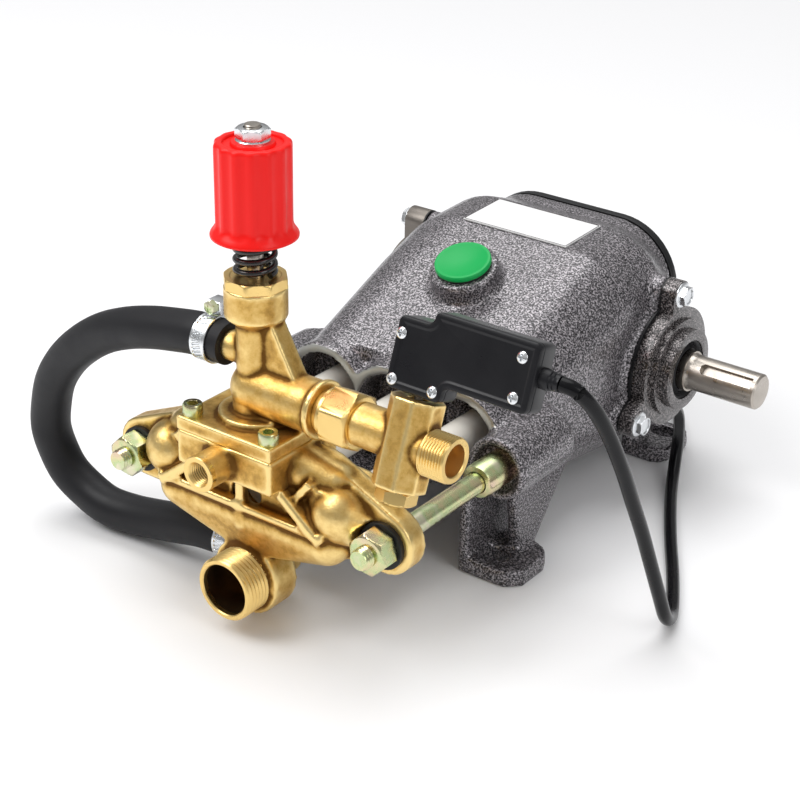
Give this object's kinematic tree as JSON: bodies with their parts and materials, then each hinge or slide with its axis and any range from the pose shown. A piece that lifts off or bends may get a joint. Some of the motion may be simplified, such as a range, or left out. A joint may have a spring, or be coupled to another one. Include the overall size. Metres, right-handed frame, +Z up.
{
  "type": "pressure washer pump",
  "caption": "Crank-driven plunger pump for a pressure washer: hammered grey crankcase on feet, brass valve head, unloader with red knob, bypass hose and pressure switch.",
  "frame": {"origin": "centre of the four foot holes, on the plane the feet stand on", "axes": "+X along the crankshaft towards its driven end, +Y from the valve head to the rear cover, +Z up"},
  "size_m": [0.3411, 0.472, 0.255],
  "materials": {
    "hammered_paint": "hammered two-tone grey stoving paint",
    "bare_casting": "bare cast metal",
    "black_plate": "satin black",
    "zinc_steel": "yellow and clear zinc plate",
    "ground_steel": "ground",
    "ceramic": "polished ceramic",
    "seal_rubber": "matt",
    "cast_brass": "rough cast",
    "turned_brass": "machined",
    "black_steel": "oiled black",
    "red_plastic": "moulded",
    "bright_zinc": "bright zinc",
    "hose_rubber": "satin extruded",
    "black_plastic": "moulded",
    "cable_jacket": "smooth sheath",
    "green_plastic": "moulded",
    "label_white": "printed film, blank"
  },
  "bodies": {
    "casing": {"crankcase": "hammered_paint", "rear_gasket": "black_plate", "rear_cover": "black_plate", "rear_cover_screws": "zinc_steel", "bearing_gaskets": "black_plate", "bearing_cover_right": "hammered_paint", "bearing_cover_left": "bare_casting", "bearing_cover_bolts": "zinc_steel", "bearing_outer_rings": "ground_steel", "oil_seal": "seal_rubber", "packings": "seal_rubber", "packing_retainers": "turned_brass", "manifold": "cast_brass", "valve_seats": "ground_steel", "tie_rods": "zinc_steel", "tie_nuts": "zinc_steel", "tie_washers": "seal_rubber", "lock_nuts": "zinc_steel", "unloader_body": "cast_brass", "unloader_cap": "turned_brass", "cover_screws": "zinc_steel", "pressure_spring": "black_steel", "bypass_hose": "hose_rubber", "hose_clamps": "bright_zinc", "clamp_screws": "zinc_steel", "union_nut": "turned_brass", "outlet_tee": "cast_brass", "tee_plug": "turned_brass", "switch_housing": "black_plastic", "micro_switch": "black_plastic", "switch_cover": "black_plastic", "switch_screws": "bright_zinc", "strain_relief": "black_plastic", "switch_cable": "cable_jacket", "cable_coil": "cable_jacket", "label_plate": "label_white", "drain_plug": "ground_steel"},
    "crank": {"crankshaft": "ground_steel", "bearing_inner_rings": "ground_steel"},
    "rod_1": {"connecting_rod_1": "ground_steel"},
    "piston_1": {"crosshead_1": "ground_steel", "plunger_1": "ceramic"},
    "inlet_disc_1": {"inlet_valve_1": "ground_steel"},
    "outlet_disc_1": {"outlet_valve_1": "ground_steel"},
    "rod_2": {"connecting_rod_2": "ground_steel"},
    "piston_2": {"crosshead_2": "ground_steel", "plunger_2": "ceramic"},
    "inlet_disc_2": {"inlet_valve_2": "ground_steel"},
    "outlet_disc_2": {"outlet_valve_2": "ground_steel"},
    "rod_3": {"connecting_rod_3": "ground_steel"},
    "piston_3": {"crosshead_3": "ground_steel", "plunger_3": "ceramic"},
    "inlet_disc_3": {"inlet_valve_3": "ground_steel"},
    "outlet_disc_3": {"outlet_valve_3": "ground_steel"},
    "spring_seat": {"spring_plate": "black_steel"},
    "pressure_knob": {"knob": "red_plastic", "knob_nut": "bright_zinc", "adjuster_stem": "black_steel"},
    "filler": {"oil_filler_cap": "green_plastic"},
    "sensor_piston": {"switch_piston": "ground_steel"}
  },
  "joints": [
    {"name": "crank_spin", "type": "hinge", "parent": "casing", "child": "crank", "pos_m": [0, 0.054, 0.07], "axis": [1, 0, 0], "continuous": true},
    {"name": "rod_1_pivot", "type": "hinge", "parent": "crank", "child": "rod_1", "pos_m": [-0.044, 0.06, 0.07], "axis": [1, 0, 0], "continuous": true},
    {"name": "rod_2_pivot", "type": "hinge", "parent": "crank", "child": "rod_2", "pos_m": [0, 0.051, 0.0752], "axis": [1, 0, 0], "continuous": true},
    {"name": "rod_3_pivot", "type": "hinge", "parent": "crank", "child": "rod_3", "pos_m": [0.044, 0.051, 0.0648], "axis": [1, 0, 0], "continuous": true},
    {"name": "piston_1_stroke", "type": "slide", "parent": "casing", "child": "piston_1", "axis": [0, 1, 0], "range_m": [-0.006, 0.006]},
    {"name": "piston_2_stroke", "type": "slide", "parent": "casing", "child": "piston_2", "axis": [0, 1, 0], "range_m": [-0.006, 0.006]},
    {"name": "piston_3_stroke", "type": "slide", "parent": "casing", "child": "piston_3", "axis": [0, 1, 0], "range_m": [-0.006, 0.006]},
    {"name": "inlet_disc_1_lift", "type": "slide", "parent": "casing", "child": "inlet_disc_1", "axis": [0, 0, 1], "range_m": [0, 0.0015], "stiffness_N_per_m": 40, "springref_m": -0.001},
    {"name": "outlet_disc_1_lift", "type": "slide", "parent": "casing", "child": "outlet_disc_1", "axis": [0, 0, 1], "range_m": [0, 0.0015], "stiffness_N_per_m": 40, "springref_m": -0.001},
    {"name": "inlet_disc_2_lift", "type": "slide", "parent": "casing", "child": "inlet_disc_2", "axis": [0, 0, 1], "range_m": [0, 0.0015], "stiffness_N_per_m": 40, "springref_m": -0.001},
    {"name": "outlet_disc_2_lift", "type": "slide", "parent": "casing", "child": "outlet_disc_2", "axis": [0, 0, 1], "range_m": [0, 0.0015], "stiffness_N_per_m": 40, "springref_m": -0.001},
    {"name": "inlet_disc_3_lift", "type": "slide", "parent": "casing", "child": "inlet_disc_3", "axis": [0, 0, 1], "range_m": [0, 0.0015], "stiffness_N_per_m": 40, "springref_m": -0.001},
    {"name": "outlet_disc_3_lift", "type": "slide", "parent": "casing", "child": "outlet_disc_3", "axis": [0, 0, 1], "range_m": [0, 0.0015], "stiffness_N_per_m": 40, "springref_m": -0.001},
    {"name": "knob_turn", "type": "hinge", "parent": "spring_seat", "child": "pressure_knob", "pos_m": [0, -0.196, 0.2], "axis": [0, 0, 1], "range_deg": [-901, 0]},
    {"name": "knob_travel", "type": "slide", "parent": "casing", "child": "spring_seat", "axis": [0, 0, 1], "range_m": [-0.00375, 0], "deforming": ["pressure_spring"]},
    {"name": "filler_cap_turn", "type": "hinge", "parent": "casing", "child": "filler", "pos_m": [0, -0.029, 0.137], "axis": [0, -0.342, 0.9397], "range_deg": [0, 1080]},
    {"name": "switch_piston_stroke", "type": "slide", "parent": "casing", "child": "sensor_piston", "axis": [0, 0.342, 0.9397], "range_m": [0, 0.002], "stiffness_N_per_m": 400, "springref_m": -0.001}
  ],
  "couplings": [
    {"joint": "rod_1_pivot", "follows": "crank_spin", "ratio": -1},
    {"joint": "rod_2_pivot", "follows": "crank_spin", "ratio": -1},
    {"joint": "rod_3_pivot", "follows": "crank_spin", "ratio": -1},
    {"joint": "knob_turn", "follows": "knob_travel", "rad_per_m": 4188.8}
  ]
}
